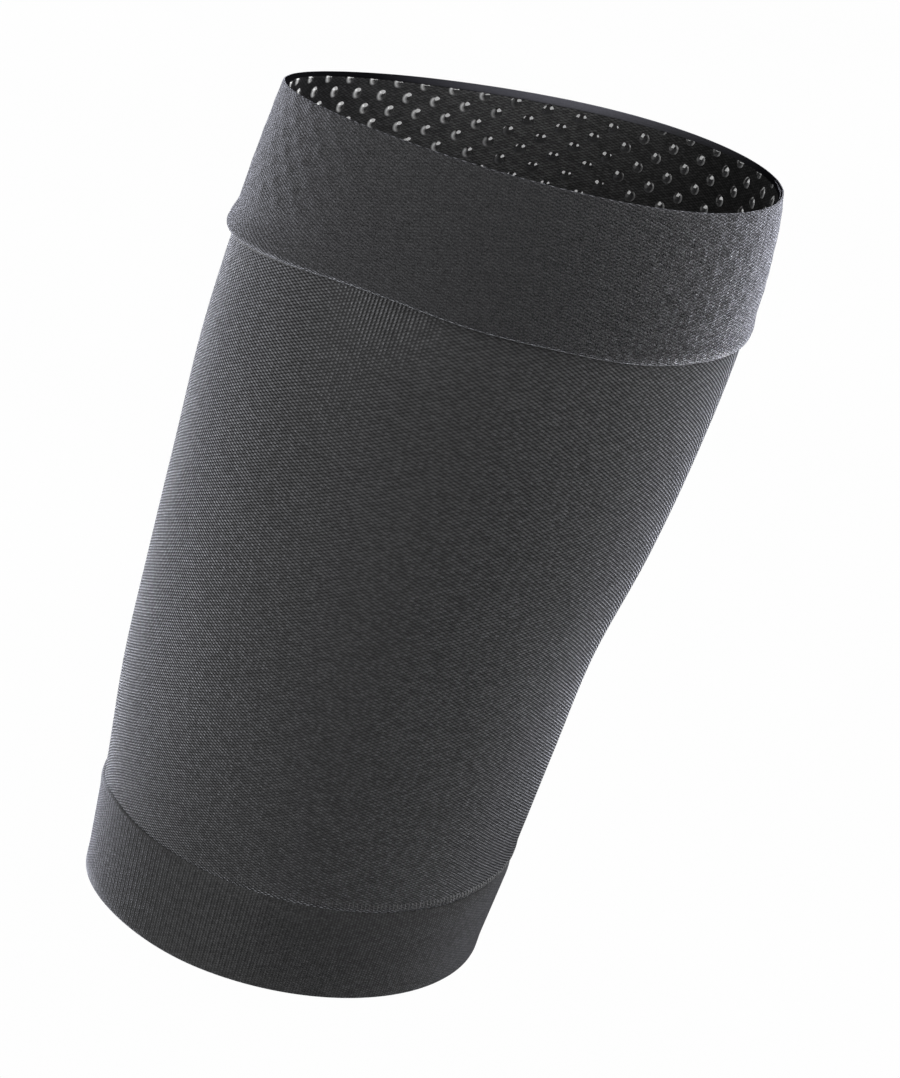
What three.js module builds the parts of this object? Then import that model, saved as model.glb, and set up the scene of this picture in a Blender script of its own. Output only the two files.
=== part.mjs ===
// Thigh compression sleeve: a knitted tapered tube with a doubled grip band above and a ribbed cuff below.
// Millimetres, +Z up towards the hip, -Y to the front of the thigh, origin in the middle of the upper opening.
import * as THREE from "three";
import { ParametricGeometry } from "three/addons/geometries/ParametricGeometry.js";

// Lengths down the sleeve, from the top of the rim
const SLEEVE_LENGTH = 300;
const BAND_HEIGHT = 52;
const CUFF_HEIGHT = 42;
const BODY_TUCK = 9; // how far the tube reaches up behind the band
const RIM_TURN = 3; // how far the rim is turned over to the inside

// Wall thicknesses, and the gap between plies
const BODY_WALL = 1.2;
const LINING_WALL = 1.2;
const BAND_WALL = 1.2;
const CUFF_WALL = 1.9;
const PLY_GAP = 0.3;

// Rounded edges
const EDGE_ROUND = 0.5;
const HEM_BULGE = 0.6; // extra thickness of the band's hem
const HEM_HEIGHT = 6;
const HEM_ROUND = 1.5; // how far above the lower edge the hem starts to turn under
const SEAM_ROLL = 0.4; // the tube's lower edge stands out along the cuff seam
const SEAM_ROLL_HEIGHT = 5;
const CUFF_FLARE = 0.4; // the cuff's lower edge spreads a little
const CUFF_FLARE_HEIGHT = 8;
const ROUND_STEPS = 4; // facets in a half round

// Facets around the sleeve, and the longest stretch between rings along it
const FACETS = 56;
const RING_STEP = 15;

// Inside of the sleeve, where it lies on the thigh, at nine depths below the rim.
// halfWidth runs left to right and halfDepth front to back; shiftX and shiftY place the ring's middle.
// frontLift raises the ring's front, sideDip lowers its front right, and fullness deepens its right side.
const COLUMNS = ["depth", "halfWidth", "halfDepth", "shiftX", "shiftY", "frontLift", "sideDip", "fullness"];
const SECTIONS = [
  [0, 84.9, 79.5, 0, 2, 4.9, 1.1, 0.12],
  [26, 87.7, 81.5, -1.3, 0.5, 4.7, 1.3, 0.11],
  [52, 88.6, 82.3, -3.8, -0.6, 5, 1.2, 0.1],
  [92, 87.9, 82.8, -8.4, -1.5, 2.6, 0.5, 0.07],
  [132, 84.8, 82, -12.9, -1.8, -0.4, 0, 0.04],
  [176, 80, 80.3, -19.2, -1.5, -3.2, 0, 0.02],
  [216, 77.7, 78.5, -22.6, -0.5, -5.8, 0.5, 0.01],
  [258, 74.2, 76.3, -24.8, 1.2, -6.4, 0.9, 0.01],
  [300, 70.8, 73.5, -27.6, 3.6, -1.5, 0.2, 0.01],
].map((row) => Object.fromEntries(COLUMNS.map((column, i) => [column, row[i]])));

// Rate of change of a column between one section and the next
function slopeAfter(index, column) {
  const above = SECTIONS[index];
  const below = SECTIONS[index + 1];
  return (below[column] - above[column]) / (below.depth - above.depth);
}

// Tangent of a column at a section, weighted towards the shorter neighbouring stretch
function tangentAt(index, column) {
  const last = SECTIONS.length - 1;
  if (index === 0) return slopeAfter(0, column);
  if (index === last) return slopeAfter(last - 1, column);
  const stretchAbove = SECTIONS[index].depth - SECTIONS[index - 1].depth;
  const stretchBelow = SECTIONS[index + 1].depth - SECTIONS[index].depth;
  const weighted = slopeAfter(index - 1, column) * stretchBelow + slopeAfter(index, column) * stretchAbove;
  return weighted / (stretchAbove + stretchBelow);
}

// A column's value at any depth, by a smooth cubic through the sections
function sectionValue(column, depth) {
  const next = SECTIONS.findIndex((row) => row.depth > depth);
  const index = next < 0 ? SECTIONS.length - 2 : Math.max(next - 1, 0);
  const above = SECTIONS[index];
  const below = SECTIONS[index + 1];
  const stretch = below.depth - above.depth;
  const t = (depth - above.depth) / stretch;
  const fromAbove = (1 + 2 * t) * (1 - t) ** 2 * above[column];
  const fromBelow = t * t * (3 - 2 * t) * below[column];
  const leaving = t * (1 - t) ** 2 * stretch * tangentAt(index, column);
  const arriving = t * t * (t - 1) * stretch * tangentAt(index + 1, column);
  return fromAbove + fromBelow + leaving + arriving;
}

// The point at an angle round the sleeve, at a depth below the rim and a distance out from the thigh
function sleevePoint(angle, depth, out, target) {
  const halfWidth = sectionValue("halfWidth", depth);
  const halfDepth = sectionValue("halfDepth", depth);
  const fullness = sectionValue("fullness", depth);
  const cos = Math.cos(angle);
  const sin = Math.sin(angle);
  const alongX = -halfWidth * sin;
  const alongY = halfDepth * (cos + fullness * (cos * cos - sin * sin));
  const length = Math.hypot(alongX, alongY);
  const x = halfWidth * cos + (out * alongY) / length;
  const y = halfDepth * sin * (1 + fullness * cos) - (out * alongX) / length;
  const lift = (-sectionValue("frontLift", depth) * y) / halfDepth;
  const dip = sectionValue("sideDip", depth) * Math.sin(2 * angle);
  target.set(sectionValue("shiftX", depth) + x, sectionValue("shiftY", depth) + y, lift + dip - depth);
}

// A straight run of profile points from one depth to another, both ends included
function run(out, fromDepth, toDepth) {
  const steps = Math.max(1, Math.ceil(Math.abs(toDepth - fromDepth) / RING_STEP));
  return Array.from({ length: steps + 1 }, (_, i) => ({
    out,
    depth: fromDepth + ((toDepth - fromDepth) * i) / steps,
  }));
}

// A quarter or half round of profile points about a centre, from one angle to another
function round(centre, radius, fromAngle, toAngle, steps) {
  return Array.from({ length: steps + 1 }, (_, i) => {
    const angle = fromAngle + ((toAngle - fromAngle) * i) / steps;
    return {
      out: centre.out + radius * Math.cos(angle),
      depth: centre.depth - radius * Math.sin(angle),
    };
  });
}

// A closed ring of cloth: the profile carried once round the sleeve
function clothRing(name, profile, colour, roughness) {
  const place = (around, along, target) => {
    const point = profile[Math.round(along * profile.length) % profile.length];
    sleevePoint(-2 * Math.PI * (around % 1), point.depth, point.out, target);
  };
  const geometry = new ParametricGeometry(place, FACETS, profile.length);
  const material = new THREE.MeshStandardMaterial({ color: colour, roughness, metalness: 0 });
  const mesh = new THREE.Mesh(geometry, material);
  mesh.name = name;
  return mesh;
}

// The fine-knit tube, from behind the band to the cuff seam
function sleeveBody() {
  const top = BAND_HEIGHT - BODY_TUCK;
  const seam = SLEEVE_LENGTH - CUFF_HEIGHT - PLY_GAP / 2;
  const profile = [
    ...run(BODY_WALL, top, seam - SEAM_ROLL_HEIGHT),
    { out: BODY_WALL + SEAM_ROLL, depth: seam - SEAM_ROLL_HEIGHT / 3 },
    { out: BODY_WALL, depth: seam },
    ...run(0, seam, top),
  ];
  return clothRing("sleeve_body", profile, 0x343436, 0.85);
}

// The outer ply of the upper band, with its rolled rim and rounded hem
function gripBand() {
  const inner = LINING_WALL + PLY_GAP;
  const outer = inner + BAND_WALL;
  const rimRadius = outer / 2;
  const rimCentre = { out: rimRadius, depth: rimRadius };
  const hemTop = BAND_HEIGHT - HEM_HEIGHT;
  const profile = [
    ...run(inner, BAND_HEIGHT - EDGE_ROUND, RIM_TURN),
    { out: 0, depth: RIM_TURN },
    ...round(rimCentre, rimRadius, Math.PI, 0, ROUND_STEPS),
    ...run(outer, BAND_HEIGHT / 5, hemTop),
    { out: outer + HEM_BULGE, depth: hemTop + HEM_HEIGHT / 2 },
    { out: outer + HEM_BULGE, depth: BAND_HEIGHT - HEM_ROUND },
    { out: outer, depth: BAND_HEIGHT - EDGE_ROUND },
    { out: inner + EDGE_ROUND, depth: BAND_HEIGHT },
  ];
  return clothRing("grip_band", profile, 0x3c3c40, 0.9);
}

// The black inner ply of the band, between the turned rim and the tube's top edge
function gripLining() {
  const top = RIM_TURN + PLY_GAP;
  const bottom = BAND_HEIGHT - BODY_TUCK - PLY_GAP;
  const profile = [...run(LINING_WALL, top, bottom), ...run(0, bottom, top)];
  return clothRing("grip_lining", profile, 0x121214, 0.8);
}

// The ribbed cuff, rounded at the seam and folded at the lower opening
function lowerCuff() {
  const seam = SLEEVE_LENGTH - CUFF_HEIGHT + PLY_GAP / 2;
  const flareTop = SLEEVE_LENGTH - CUFF_FLARE_HEIGHT;
  const foldRadius = CUFF_WALL / 2;
  const foldCentre = { out: foldRadius, depth: SLEEVE_LENGTH - foldRadius };
  const profile = [
    { out: CUFF_WALL - EDGE_ROUND, depth: seam },
    ...run(CUFF_WALL, seam + 2 * EDGE_ROUND, flareTop),
    { out: CUFF_WALL + CUFF_FLARE, depth: flareTop + CUFF_FLARE_HEIGHT / 2 },
    ...round(foldCentre, foldRadius, 0, -Math.PI, ROUND_STEPS),
    ...run(0, flareTop, seam),
  ];
  return clothRing("lower_cuff", profile, 0x363639, 0.88);
}

const sleeve = new THREE.Group();
sleeve.add(sleeveBody(), gripBand(), gripLining(), lowerCuff());

export default sleeve;
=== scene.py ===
"""Looks of a thigh compression sleeve: a knitted tube, a grip band with silicone dots, a ribbed cuff."""

import math

import bpy
import numpy as np
from mathutils import Matrix, Vector


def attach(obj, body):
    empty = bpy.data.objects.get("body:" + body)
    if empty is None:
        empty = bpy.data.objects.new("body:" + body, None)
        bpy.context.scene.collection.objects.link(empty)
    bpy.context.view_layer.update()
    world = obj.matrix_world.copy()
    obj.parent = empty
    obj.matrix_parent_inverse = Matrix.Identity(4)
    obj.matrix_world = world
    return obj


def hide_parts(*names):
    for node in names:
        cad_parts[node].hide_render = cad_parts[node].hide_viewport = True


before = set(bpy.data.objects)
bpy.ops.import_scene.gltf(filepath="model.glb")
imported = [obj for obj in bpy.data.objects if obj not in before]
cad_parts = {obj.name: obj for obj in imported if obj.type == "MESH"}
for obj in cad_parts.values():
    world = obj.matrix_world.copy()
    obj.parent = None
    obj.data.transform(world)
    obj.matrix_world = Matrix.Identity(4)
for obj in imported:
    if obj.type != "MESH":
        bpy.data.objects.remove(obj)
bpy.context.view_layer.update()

MM = 0.001
TURN = 2 * math.pi

# Lengths down the sleeve, from the top of the rim
SLEEVE_LENGTH = 300 * MM
BAND_HEIGHT = 52 * MM
CUFF_HEIGHT = 42 * MM
BODY_TUCK = 9 * MM  # how far the tube reaches up behind the band

# Wall thicknesses, and the gap between plies
BODY_WALL = 1.2 * MM
LINING_WALL = 1.2 * MM
BAND_WALL = 1.2 * MM
CUFF_WALL = 1.9 * MM
PLY_GAP = 0.3 * MM

# Inside of the sleeve, where it lies on the thigh, at nine depths below the rim: lengths in millimetres.
# half_width runs left to right and half_depth front to back; shift_x and shift_y place the ring's middle.
# front_lift raises the ring's front, side_dip lowers its front right, and fullness deepens its right side.
COLUMNS = ("depth", "half_width", "half_depth", "shift_x", "shift_y", "front_lift", "side_dip", "fullness")
SECTIONS = np.array([
    (0, 84.9, 79.5, 0, 2, 4.9, 1.1, 0.12),
    (26, 87.7, 81.5, -1.3, 0.5, 4.7, 1.3, 0.11),
    (52, 88.6, 82.3, -3.8, -0.6, 5, 1.2, 0.1),
    (92, 87.9, 82.8, -8.4, -1.5, 2.6, 0.5, 0.07),
    (132, 84.8, 82, -12.9, -1.8, -0.4, 0, 0.04),
    (176, 80, 80.3, -19.2, -1.5, -3.2, 0, 0.02),
    (216, 77.7, 78.5, -22.6, -0.5, -5.8, 0.5, 0.01),
    (258, 74.2, 76.3, -24.8, 1.2, -6.4, 0.9, 0.01),
    (300, 70.8, 73.5, -27.6, 3.6, -1.5, 0.2, 0.01),
])
SECTIONS[:, :-1] *= MM

# A name ending in AT holds a direction round the sleeve and the spread over which it fades, in degrees.
# Direction 90 is the back, 180 the left, 270 the front and 360 the right.
BACK = 90

# Columns and rows of the meshes
CLOTH_COLUMNS = 480
EDGING_COLUMNS = 360
LINING_COLUMNS = 240
TUBE_ROWS = 150
TUBE_ROWS_INSIDE = 28
RIM_ROWS = 9
BAND_ROWS = 70
BAND_ROWS_INSIDE = 16
HEM_ROWS = 40
HEM_ROW_PACKING = 1.8  # rows lie closer towards the hem's lower edge
LINING_ROWS = 40
LINING_ROWS_OUTSIDE = 12
CUFF_ROWS = 17
CUFF_ROWS_INSIDE = 8
CUFF_TOP_ROWS = 8
CUFF_TOP_HEIGHT = 2 * MM
CUFF_FOLD_ROWS = 9
BEAD_SIDES = 8
DOT_SIDES = 16
STITCH_SIDES = 6

# Tube: its courses, the patch that is pulled open below the hem, and painted sheen that makes its sides
# shine
BODY_PAIRS = 203  # pairs of stitch columns round the sleeve
BODY_COURSE = 1.11 * MM
COURSE_SPREAD = 0.92  # courses lie further apart at the top of the tube
COURSE_PACKING = 0.28  # and closer, for each metre down
COURSE_SAG = 7 * MM  # courses hang lower on the right
COURSE_SAG_TOP = 0.3
COURSE_SAG_GROWTH = 4.3  # for each metre down
COURSE_SAG_AT = (360, 75)
COURSE_RISE = 2 * MM  # and higher right of the front
COURSE_RISE_AT = (285, 40)
PULL_AT = (250, 18)
PULL_REACH = 26 * MM
PULL_TRAIL = 0.35
PULL_TRAIL_AT = (245, 14)
PULL_TRAIL_REACH = 62 * MM
TUBE_LOW_START = 180 * MM
TUBE_LOW_REACH = 80 * MM
TUBE_SHINE_LEFT = 0.7
TUBE_SHINE_LEFT_AT = (186, 28)
TUBE_SHINE_RIGHT = 0.2
TUBE_RIGHT_AT = (350, 45)
TUBE_SHINE_FAR_RIGHT = 0.7
TUBE_FAR_RIGHT_AT = (358, 26)
TUBE_DULL_RIGHT = 0.9  # low on the tube
TUBE_DULL_LEFT = 0.6
TUBE_DULL_LEFT_AT = (240, 45)

# Strength of the knit's lines and grain at the front, and what the left and the right side add to it: the
# side parts are partly the knit's own look and partly painted shade of its relief under the side light
KNIT_LEFT_AT = (200, 75)
TUBE_KNIT_RIGHT_AT = (360, 65)
TUBE_RISING = (0.24, 0.55, -0.19)
TUBE_FALLING = (0.33, 0.26, 0.52)
BAND_KNIT_RIGHT_AT = (330, 60)
BAND_RISING = (0.1, 0.05, 0.06)
BAND_FALLING = (0.15, 0.17, 0.05)
BAND_GRAIN = (0.33, 0.2, 0.52)

# Band: a thin rim that turns over a little way, and a soft hem that stands out on both sides
BAND_PAIRS = 165
BAND_COURSE = 1.08 * MM
RIM_ROUND = 0.6 * MM  # radius of the band's top edge
RIM_THIN_RIGHT = 1.1 * MM  # the inside of the rim lies further out on the right
RIM_THIN_AT = (360, 80)
RIM_PINCH_RIGHT = 1.5 * MM  # its outside lies further in behind both ends
RIM_PINCH_RIGHT_AT = (45, 42)
RIM_PINCH_LEFT = 1.0 * MM
RIM_PINCH_LEFT_AT = (150, 35)
RIM_THIN_HEIGHT = 12 * MM
RIM_SHADE = 0.5 * MM  # painted shade: the top edge of the band is darker
RIM_DARKER = 0.6
BAND_SWELL_RIGHT = 0.5 * MM  # the band swells a little at the right end
BAND_SWELL_AT = (-10, 40)
BAND_SWELL_DEPTH = 10 * MM
# painted light: the band is paler at the far left
BAND_PALE_LEFT = 0.6
BAND_PALE_LEFT_AT = (184, 26)
TAPE_WALL = 0.35 * MM
TAPE_HEIGHT = 2.0 * MM  # how far the turned edge reaches down the inside
TAPE_MORE_BACK = 0.6 * MM
TAPE_BACK_AT = (76, 62)
TAPE_LESS_LEFT = 0.8 * MM
TAPE_LEFT_AT = (165, 55)
TAPE_PROFILE = (0.1, 1.05, 1.05, 1, 0.75, 0.5, 0.25, 0)  # shares of its height, row by row
HEM_START = 41 * MM
HEM_SWELL = 7.5 * MM  # height over which the hem swells out
HEM_LATER_LEFT = 1.2 * MM
HEM_BULGE = 0.3 * MM
HEM_BULGE_LEFT = 1.5 * MM
HEM_BULGE_RIGHT = 0.5 * MM
HEM_LEFT_AT = (195, 70)
HEM_RIGHT_AT = (345, 80)
HEM_ROUND = 1.6 * MM
HEM_ROUND_LEFT = 2.4 * MM
HEM_ROUND_RIGHT = 5 * MM
HEM_CLEARANCE = 0.1 * MM
HEM_INSIDE_SHORT = 0.4 * MM  # the inner face ends this far above the lower edge
HEM_DROP_LEFT = 2.0 * MM  # the hem's lower edge waves up and down
HEM_DROP_LEFT_AT = (198, 40)
HEM_RISE_FRONT = 1.3 * MM
HEM_RISE_AT = (247, 26)
HEM_DROP_RIGHT = 0.9 * MM
HEM_DROP_RIGHT_AT = (308, 25)
HEM_WAVE_START = 30 * MM
HEM_CREASE_DEPTH = 48.4 * MM
HEM_CREASE_HALF_HEIGHT = 1 * MM
HEM_CREASE = 0.12 * MM
HEM_PAINTED_LIGHT = 0.75  # painted light: the lower edge of the hem is paler on the right
HEM_PAINTED_LIGHT_AT = (335, 50)
HEM_PAINTED_LIGHT_HEIGHT = 5 * MM
HEM_PAINTED_LIGHT_FADE = 3.5 * MM
BEAD_RADIUS = 0.3 * MM
BEAD_AT = (205, 36)
BEAD_LEAST = 0.1  # share of its radius that the bead keeps away from its place
BEAD_DROP = 0.1 * MM
BEAD_OUT = 0.2 * MM
BEAD_OUT_LEFT = 0.9 * MM
DOT_SHOW_THROUGH = 0.12 * MM  # the dots behind press through the band
DOT_SHOW_MORE = 0.28 * MM  # most towards its ends
DOT_SHOW_LEFT_AT = (213, 30)
DOT_SHOW_RIGHT_AT = (323, 42)
DOT_SHOW_SPREAD_AT = (72, 75)
DOT_SHOW_FADE = 4 * MM
DOT_SHOW_GIRTH = 85 * MM * TURN

# Lining, darkened by painted shade away from the back
LINING_PAIRS = 210
LINING_COURSE = 1.1 * MM
LINING_FACE = 0.15 * MM
LINING_DARKEST = 0.25
LINING_PALE_AT = (95, 65)

# Silicone dots on the lining, in staggered rows that slant down towards the right of the back
DOTS_AROUND = 42
DOT_ROWS = 8
DOT_ROW_PITCH = 5.5 * MM
DOT_FIRST_ROW = -2.4 * MM  # a row above the rim on the left comes into sight on the right
DOT_LAST_DEPTH = 40 * MM
DOT_SLANT = 6.2 * MM
DOT_SLANT_AT = (35, 85)
DOT_TURN = math.radians(19.5)
DOT_SPREAD = math.radians(4.4)  # the dots lie further round on the right of the back
DOT_SPREAD_AT = (70, 75)
DOT_GATHER = math.radians(1.8)  # and a little closer to the middle at both ends
DOT_GATHER_RIGHT_AT = (35, 40)
DOT_GATHER_LEFT_AT = (150, 40)
DOT_RISE_ENDS = 1.1 * MM
DOT_MIDDLE_AT = (90, 60)
DOT_RADIUS = 2.2 * MM
DOT_HEIGHT = 0.85 * MM
DOT_SUNK = 0.15 * MM
DOT_RINGS = (1, 0.999, 0.94, 0.85, 0.7, 0.5, 0.25)  # shares of the radius
DOT_COVERED = 0.8 * MM  # a dot's middle is at most this far above the turned cloth's edge
DOT_STEEPEST = 0.25  # a dot's face is taken to face the light by at least this share

# Painted light gathered in a dot, in shares of its radius: a crescent on the left, an arc and a disc on the
# right
DOT_SIDE_RATE = 4
LEFT_DOTS_START = 0.2
RIGHT_DOTS_START = 1.2
CRESCENT = 1.8
CRESCENT_RADIUS, CRESCENT_HALF_WIDTH = 0.68, 0.34
CRESCENT_LEFTWARD, CRESCENT_DOWNWARD = 0.95, 0.3
CRESCENT_START, CRESCENT_FADE = 0.1, 0.3
ARC_RADIUS, ARC_FADE = 0.8, 0.1
ARC_START, ARC_END_FADE = 0.4, 0.2
DISC = 0.3
DISC_LEFTWARD = 0.35
DISC_RADIUS, DISC_FADE = 0.42, 0.15

# Seam between the tube and the cuff
SEAM_DEPTH = SLEEVE_LENGTH - CUFF_HEIGHT
SEAM_RIDGE_HALF_HEIGHT = 2.3 * MM
SEAM_RIDGE_DEPTH = SEAM_DEPTH - SEAM_RIDGE_HALF_HEIGHT
SEAM_GAP = 0.04 * MM
SEAM_DROP_LEFT = 5 * MM  # the seam hangs lower at the far left
SEAM_DROP_AT = (178, 34)
SEAM_DROP_REACH = 30 * MM
SEAM_RIDGE = 0.1 * MM
SEAM_RIDGE_RIGHT = 0.7 * MM
SEAM_RIDGE_AT = (325, 55)
SEAM_STITCHES = 320
STITCH_RADIUS = 0.03 * MM
STITCH_MORE_RIGHT = 0.25 * MM
STITCH_RIGHT_AT = (325, 48)
STITCH_REACH = 1.5 * MM
STITCH_STEPS = (-1.0, -0.9, -0.4, 0.4, 0.9, 1.0)  # shares of its reach, and of its radius there
STITCH_PROFILE = (0.3, 0.9, 1, 1, 0.9, 0.3)
STITCH_LEAN = 0.25  # share of the space between two stitches

# Ribbed cuff
RIBS = 218
RIB_SAMPLES = 10
RIB_HEIGHT = 0.05 * MM
RIB_SPLIT = 0.07 * MM
RIB_GROW = 1.5 * MM
RIB_FADE = 5 * MM  # the ribs flatten towards the fold
RIB_FLATTER_RIGHT = 0.85
RIB_FLATTER_AT = (335, 80)
CUFF_COURSE = 1.1 * MM
CUFF_STEP_LEFT = 1.0 * MM  # the cuff stands out below the seam on the left
CUFF_STEP_AT = (195, 85)
CUFF_DIP_RIGHT = 0.7 * MM  # and tucks under the seam's ridge on the right
CUFF_DIP_AT = (340, 65)
CUFF_STEP_FADE = 7 * MM
CUFF_ROUND = 1 * MM  # the cuff's upper edge is rounded, most on the left
CUFF_ROUND_LEAST = 0.05 * MM
CUFF_ROUND_MORE_LEFT = 0.45 * MM
CUFF_ROUND_AT = (200, 70)
CUFF_FLARE = 0.4 * MM
CUFF_FLARE_HEIGHT = 8 * MM
CUFF_LIFT_LEFT = 1 * MM  # the lower edge hangs a little higher at the front left
CUFF_LIFT_AT = (218, 35)
# Painted light and shade on the cuff: more sheen at the left, less at the right, and darker colour at the
# front left
CUFF_SHINE_LEFT = 1.1
CUFF_SHINE_LEFT_AT = (185, 35)
CUFF_DULL_RIGHT = 0.9
CUFF_DULL_RIGHT_AT = (350, 60)
CUFF_DARKER_LEFT = 0.28
CUFF_DARKER_AT = (224, 38)

# Maps and values that the meshes hold for the materials
PATTERN_MAP = "knit"
BAKE_MAP = "OFBake"
STRETCH = "stretch"
# Painted light and shade round the sleeve: the first holds the tone of the tape, lining and cuff, the
# second the sheen of the tube and cuff and the tone and sheen of the band
PAINTED_SHADE = "pale"
PAINTED_LIGHT = "edge"
RISING = "rising"
FALLING = "falling"
GRAIN = "grain"
PAINTED_FILL = "clear"
GLINT = "glint"

# Colours
BODY_COLOUR = (0.0465, 0.0465, 0.0475)
BAND_COLOUR = (0.0355, 0.0355, 0.037)
TAPE_COLOUR = (0.05, 0.05, 0.056)
LINING_COLOUR = (0.05, 0.05, 0.05)
CUFF_COLOUR = (0.042, 0.042, 0.0425)
SILICONE_COLOUR = (0.036, 0.036, 0.036)
SEAM_COLOUR = (0.16, 0.16, 0.162)
# the hem's rolled edge is paler than the band: painted sheen along the fold
HEM_EDGE_PAINTED_SHEEN = (0.11, 0.11, 0.111)

# Features of each noise to a metre
FIBRE_SCALE = 2600
THREAD_SCALE = 3500
TAPE_SCALE = 1500
STRAND_SCALE = 500
CLOUD_SCALE = 300
BROAD_SCALE = 30
BODY_DRIFT_SCALE = 60
BAND_DRIFT_SCALE = 450
CUFF_DRIFT_SCALE = 90
FLOOR_SCALE = 2

# How far the courses wander, in courses, and how far each thing lightens and darkens the cloth
BODY_DRIFT = 0.2
BAND_DRIFT = 0.25
CUFF_DRIFT = 0.3
KNIT_UNEVEN = 0.2
KNIT_FIBRE = 0.25
BODY_BROAD = 0.06
STRAND_LOOPS = (0.3, 1)
STRAND_BREAKS = 0.9
STRAND_TONE = (0.6, 3.0)
BAND_WAVE = 0.3
BAND_ROW_TONE = 0.35
BAND_UNEVEN = 0.3
BAND_SPECKS = 4.5
TAPE_FIBRE = 0.2
# painted shade: how dark the tape is away from the back
TAPE_DARKEST = 0.05
LINING_LOOPS = 0.5
LINING_UNEVEN = 0.3
LINING_FIBRE = 0.7
CUFF_LOOPS = 0.2
CUFF_WALES = 0.2
SILICONE_CLOUD = 0.3
SILICONE_GLINT = 13.0
THREAD_FIBRE = 0.4

# Relief of each surface, and the fibre's part in it
KNIT_RELIEF = 0.3 * MM
CUFF_RELIEF = 0.14 * MM
FIBRE_RELIEF = 0.1 * MM
SMOOTH_RELIEF = 0.05 * MM
BODY_FIBRE_RELIEF = 0.2
BAND_FIBRE_RELIEF = 0.4
CUFF_FIBRE_RELIEF = 0.3

# Gloss
CLOTH_ROUGHNESS = 0.85
CLOTH_SPECULAR = 0.12
SHEEN_ROUGHNESS = 0.35
SHEEN_TINT = (0.9, 0.92, 1.0, 1)
KNIT_SHEEN = 0.5
BAND_SHEEN = 0.6
THREAD_SHEEN = 0.1
NO_GLOSS_IOR = 1.0
SILICONE_IOR = 1.6
SILICONE_SPECULAR = 1.0
SILICONE_ROUGHNESS = (0.06, 0.14)

# Camera; its sensor and lens are in millimetres
SENSOR = 36
LENS = 134.9
CAMERA_TARGET = Vector((0, 0, -142 * MM))
CAMERA_AIM = Vector((3.0 * MM, -2.2 * MM, -148.3 * MM))
CAMERA_DISTANCE = 1425 * MM
CAMERA_ELEVATION = math.radians(19.35)
CAMERA_ROLL = math.radians(12.91)

# Softboxes: azimuth and elevation in degrees, distance, width and height in metres, and brightness
CLOTH_LIGHTS = {
    "left_softbox": (200, 12, 1.2, 0.9, 1.6, 5.2),
    "right_softbox": (338, 30, 0.62, 0.45, 0.75, 5),
    "back_left_softbox": (135, -15, 1.2, 0.9, 1.2, 7.5),
    "back_right_softbox": (52, 44, 0.5, 0.5, 0.7, 6.5),
    "front_fill": (292, -42, 0.62, 0.6, 0.5, 0.85),
}
DOT_LIGHTS = {
    "left_glint": (208, 22, 1.2, 0.9, 1.3, 3.0),
    "right_glint": (350, 20, 1.2, 2.6, 1.5, 3.4),
    "back_glint": (115, 25, 1.2, 1.15, 1.6, 1),
}
COOL_LIGHTS = ("back_left_softbox", "back_right_softbox")
COOL_WHITE = (0.98, 0.98, 1.08)
FLOOR_LEVEL = -0.9
FLOOR_SIZE = 40.0
FLOOR_TONE = (0.985, 0.995)


# Shape of the sleeve

def section_value(column, depth):
    """A column's value at any depth, by a smooth cubic through the sections."""
    depths = SECTIONS[:, 0]
    values = SECTIONS[:, COLUMNS.index(column)]
    gaps = np.diff(depths)
    slopes = np.diff(values) / gaps
    weighted = (slopes[:-1] * gaps[1:] + slopes[1:] * gaps[:-1]) / (gaps[1:] + gaps[:-1])
    tangents = np.concatenate([slopes[:1], weighted, slopes[-1:]])
    above = np.clip(np.searchsorted(depths, depth, side="right") - 1, 0, len(gaps) - 1)
    gap = gaps[above]
    t = (depth - depths[above]) / gap
    from_above = (1 + 2 * t) * (1 - t) ** 2 * values[above]
    from_below = t * t * (3 - 2 * t) * values[above + 1]
    leaving = t * (1 - t) ** 2 * gap * tangents[above]
    arriving = t * t * (t - 1) * gap * tangents[above + 1]
    return from_above + from_below + leaving + arriving


def ring_tangent(angle, depth):
    """How fast a ring's point moves in x and y as its angle grows."""
    half_width = section_value("half_width", depth)
    half_depth = section_value("half_depth", depth)
    fullness = section_value("fullness", depth)
    along_x = -half_width * np.sin(angle)
    along_y = half_depth * (np.cos(angle) + fullness * np.cos(2 * angle))
    return along_x, along_y


def sleeve_points(angle, depth, out):
    """Points at angles round the sleeve, depths below the rim and distances out from the thigh."""
    angle, depth, out = np.broadcast_arrays(angle, depth, out)
    along_x, along_y = ring_tangent(angle, depth)
    length = np.hypot(along_x, along_y)
    half_depth = section_value("half_depth", depth)
    bulge = 1 + section_value("fullness", depth) * np.cos(angle)
    x = section_value("half_width", depth) * np.cos(angle) + out * along_y / length
    y = half_depth * np.sin(angle) * bulge - out * along_x / length
    lift = -section_value("front_lift", depth) * y / half_depth
    dip = section_value("side_dip", depth) * np.sin(2 * angle)
    x = x + section_value("shift_x", depth)
    y = y + section_value("shift_y", depth)
    return np.stack([x, y, lift + dip - depth], axis=-1)


def smooth(share):
    """An even step from 0 to 1."""
    share = np.clip(share, 0, 1)
    return share * share * (3 - 2 * share)


def near(angle, place):
    """1 at a place round the sleeve, falling to 0 at its spread on either side."""
    direction, spread = place
    away = (angle - math.radians(direction) + math.pi) % TURN - math.pi
    return smooth(1 - np.abs(away) / math.radians(spread))


def hump(value, centre, half_width):
    """1 at a centre, falling to 0 at the half width on either side."""
    return smooth(1 - np.abs(value - centre) / half_width)


def side_mix(strengths, left, right):
    """A strength at the front, with what the left and the right side add."""
    front, more_left, more_right = strengths
    return front + more_left * left + more_right * right


def ring_angles(columns):
    """Angles once round the sleeve, starting at the back, as one row."""
    return math.radians(BACK) + TURN * np.arange(columns)[None, :] / columns


# Meshes

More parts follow.
